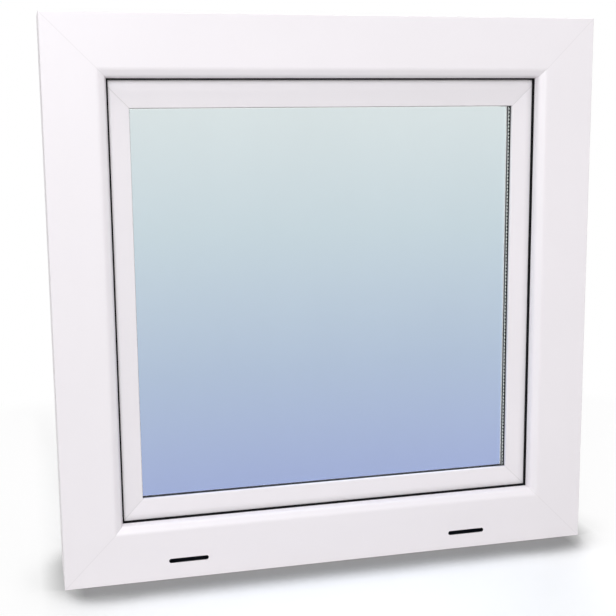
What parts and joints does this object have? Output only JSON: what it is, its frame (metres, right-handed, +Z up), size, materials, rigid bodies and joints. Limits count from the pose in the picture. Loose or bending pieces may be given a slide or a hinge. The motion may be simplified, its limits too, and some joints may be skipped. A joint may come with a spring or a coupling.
{
  "type": "basement window",
  "caption": "Small square double-glazed plastic window with a mitred frame, an inward-opening sash, black seals, drainage slots, hinges and a lever handle.",
  "frame": {"origin": "middle of the underside of the frame's bottom bar, half-way through the frame's depth", "axes": "+X to the right seen from outside, +Y from the outside to the inside, +Z up"},
  "size_m": [0.6, 0.1443, 0.6],
  "materials": {
    "white_pvc": "smooth satin white",
    "black_rubber": "matt black",
    "gasket_rubber": "matt dark grey",
    "clear_glass": "clear float glass, faintly blue-green",
    "spacer_aluminium": "bright, perforated on the cavity side",
    "edge_sealant": "matt black",
    "handle_enamel": "white enamel",
    "hinge_enamel": "white enamel"
  },
  "bodies": {
    "root": {"edge_sealant_bottom": "edge_sealant", "edge_sealant_left": "edge_sealant", "edge_sealant_right": "edge_sealant", "edge_sealant_top": "edge_sealant", "frame_head": "white_pvc", "frame_jamb_left": "white_pvc", "frame_jamb_right": "white_pvc", "frame_seal_bottom": "black_rubber", "frame_seal_left": "black_rubber", "frame_seal_right": "black_rubber", "frame_seal_top": "black_rubber", "frame_sill": "white_pvc", "glass_inner_pane": "clear_glass", "glass_outer_pane": "clear_glass", "glazing_bead_bottom": "white_pvc", "glazing_bead_left": "white_pvc", "glazing_bead_right": "white_pvc", "glazing_bead_top": "white_pvc", "handle_base": "handle_enamel", "handle_lever": "handle_enamel", "hinge_lower_bearing": "hinge_enamel", "hinge_lower_knuckle": "hinge_enamel", "hinge_upper_bearing": "hinge_enamel", "hinge_upper_knuckle": "hinge_enamel", "inner_gasket_bottom": "gasket_rubber", "inner_gasket_left": "gasket_rubber", "inner_gasket_right": "gasket_rubber", "inner_gasket_top": "gasket_rubber", "outer_gasket_bottom": "gasket_rubber", "outer_gasket_left": "gasket_rubber", "outer_gasket_right": "gasket_rubber", "outer_gasket_top": "gasket_rubber", "sash_bottom_rail": "white_pvc", "sash_seal_bottom": "black_rubber", "sash_seal_left": "black_rubber", "sash_seal_right": "black_rubber", "sash_seal_top": "black_rubber", "sash_stile_left": "white_pvc", "sash_stile_right": "white_pvc", "sash_top_rail": "white_pvc", "spacer_bar_bottom": "spacer_aluminium", "spacer_bar_left": "spacer_aluminium", "spacer_bar_right": "spacer_aluminium", "spacer_bar_top": "spacer_aluminium"}
  },
  "joints": []
}
